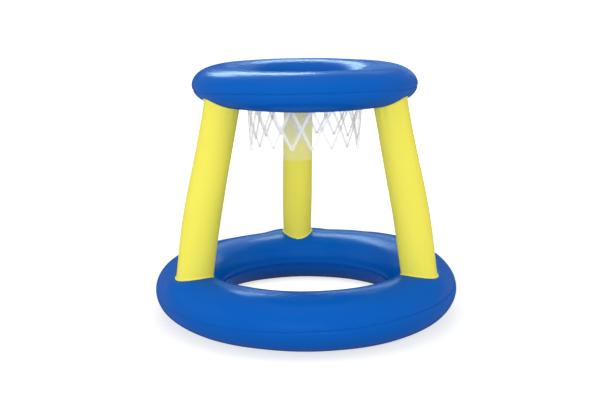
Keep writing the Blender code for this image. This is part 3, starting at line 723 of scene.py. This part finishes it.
# Studio: a pale floor, soft lamps and the camera. Each stop of the floor's glowing is a share of the
# ramp's reach
# from the middle and its strength there: full in the base ring's hole, which paints light over the
# shade there, and lowest just outside the ring, which paints a wider shadow on the floor.
studio = {
    "floorSize": 160.0, "floorDrop": 0.0004, "floorColor": (0.6, 0.6, 0.6, 1), "rampReach": 2.0,
    # Painted shadow where the glowing dips just outside the base ring, and painted light where it is
    # full in the hole
    "paintedShadeGlowStops": (
        (0.0, 1.0), (0.08, 1.0), (0.113, 0.68), (0.17, 0.56), (0.24, 0.48), (0.45, 0.65), (1.0, 0.88),
    ),
    "glowColor": (1, 1, 0.95, 1), "worldLight": (0.52, 0.51, 0.52, 1),
    "focalPixels": 1014.8, "imageWidth": 600, "sensorWidth": 36.0,
    "cameraPlace": (0.0, -2.010, 0.662), "pitch": 0.2128, "pan": 0.0055, "roll": 0.008,
}
lampAim = (0, 0, 0.25)
# Each lamp's place, size, power and colour. The first three are seen in gloss only, as streaks, and the
# others light the matt part only. The inner one stands for what a white floor throws up under the hoop.
streakLamps = ("rearLeftBox", "rearRightBox", "rearLowBox")
lamps = {
    "rearLeftBox": ((-0.33, 1.05, 1.22), (0.8, 0.36), 31, (0.68, 0.97, 1.0)),
    "rearRightBox": ((0.32, 1.10, 1.20), (0.45, 0.35), 1.3, (0.6, 0.97, 1.0)),
    "rearLowBox": ((0.22, 1.25, 0.62), (0.9, 0.3), 5.5, (0.6, 0.97, 1.0)),
    "inner": ((0.0, -0.06, 0.255), (0.2, 0.1), 0.09, (1.0, 1.0, 1.0)),
    "overhead": ((-0.2, -0.1, 2.6), (2.2, 1.8), 16, (1.0, 1.0, 1.0)),
    "front": ((-0.5, -3.3, 0.8), (2.6, 1.3), 61, (0.985, 1.0, 0.99)),
    "left": ((-3.2, -0.4, 1.3), (2.0, 1.8), 16, (1.0, 0.99, 1.0)),
    "right": ((3.2, -0.4, 1.3), (2.0, 1.8), 22, (1.0, 0.95, 0.96)),
    "rear": ((0.3, 3.2, 1.5), (2.0, 1.4), 22, (1.0, 1.0, 1.0)),
}


def makeFloor():
    # The floor shades as matt grey. Seen by the camera, or in gloss and glass, it also glows so that it
    # reads white and keeps the shadow. The glowing is full in the base ring's hole, a painted light
    # over the shade there, dips just outside the ring as a painted shadow that widens the real one, and
    # rises again further out.
    matt = {"Base Color": studio["floorColor"], "Roughness": 0.9, "Specular IOR Level": 0.0}
    paint = Finish("floorMatt", matt)
    distance = paint.node("ShaderNodeVectorMath", {"operation": "LENGTH"}, {0: paint.place}, "Value")
    # The ramp paints shade on the floor just outside the base ring and paints light over the shade in
    # its hole
    paintedShadeGlow = paint.ramp(distance * (1 / studio["rampReach"]), studio["paintedShadeGlowStops"])
    paint.set("Emission Color", paint.blend(paintedShadeGlow * paint.seenRays(), (0, 0, 0, 1), studio["glowColor"]))
    paint.set("Emission Strength", 1.0)
    half = studio["floorSize"] / 2
    level = -studio["floorDrop"]
    mesh = bpy.data.meshes.new("floor")
    corners = [(-half, -half, level), (half, -half, level), (half, half, level), (-half, half, level)]
    mesh.from_pydata(corners, [], [(0, 1, 2, 3)])
    mesh.materials.append(paint.material)
    floor = bpy.data.objects.new("floor", mesh)
    bpy.context.scene.collection.objects.link(floor)


def makeWorld():
    # White where it is seen, and a plain grey light for everything else.
    world = bpy.data.worlds.new("studio")
    bpy.context.scene.world = world
    sky = Nodes(world)
    color = sky.blend(sky.seenRays().atMost(1.0), studio["worldLight"], (1, 1, 1, 1))
    sky.join(color, sky.tree.nodes["Background"].inputs["Color"])


def makeLamps():
    for name, (place, size, power, color) in lamps.items():
        data = bpy.data.lights.new(name, "AREA")
        data.shape = "RECTANGLE"
        data.size, data.size_y = size
        data.energy = power
        data.color = color
        made = bpy.data.objects.new(name, data)
        bpy.context.scene.collection.objects.link(made)
        away = Vector(place) - Vector(lampAim)
        made.location = place
        made.rotation_euler = away.to_track_quat("Z", "Y").to_euler()
        made.visible_camera = False
        made.visible_glossy = name in streakLamps
        made.visible_diffuse = name not in streakLamps


def makeCamera():
    # It looks along +Y and down by the pitch, turned a little to the left and rolled a little.
    data = bpy.data.cameras.new("camera")
    data.sensor_width = studio["sensorWidth"]
    data.lens = studio["focalPixels"] / studio["imageWidth"] * studio["sensorWidth"]
    camera = bpy.data.objects.new("camera", data)
    bpy.context.scene.collection.objects.link(camera)
    camera.location = studio["cameraPlace"]
    level = Euler((math.pi / 2 - studio["pitch"], 0, studio["pan"])).to_quaternion()
    camera.rotation_euler = (level @ Quaternion((0, 0, 1), -studio["roll"])).to_euler()
    bpy.context.scene.camera = camera


makeFloor()
makeWorld()
makeLamps()
makeCamera()
bpy.context.scene.view_settings.view_transform = "Standard"
print("studio made")
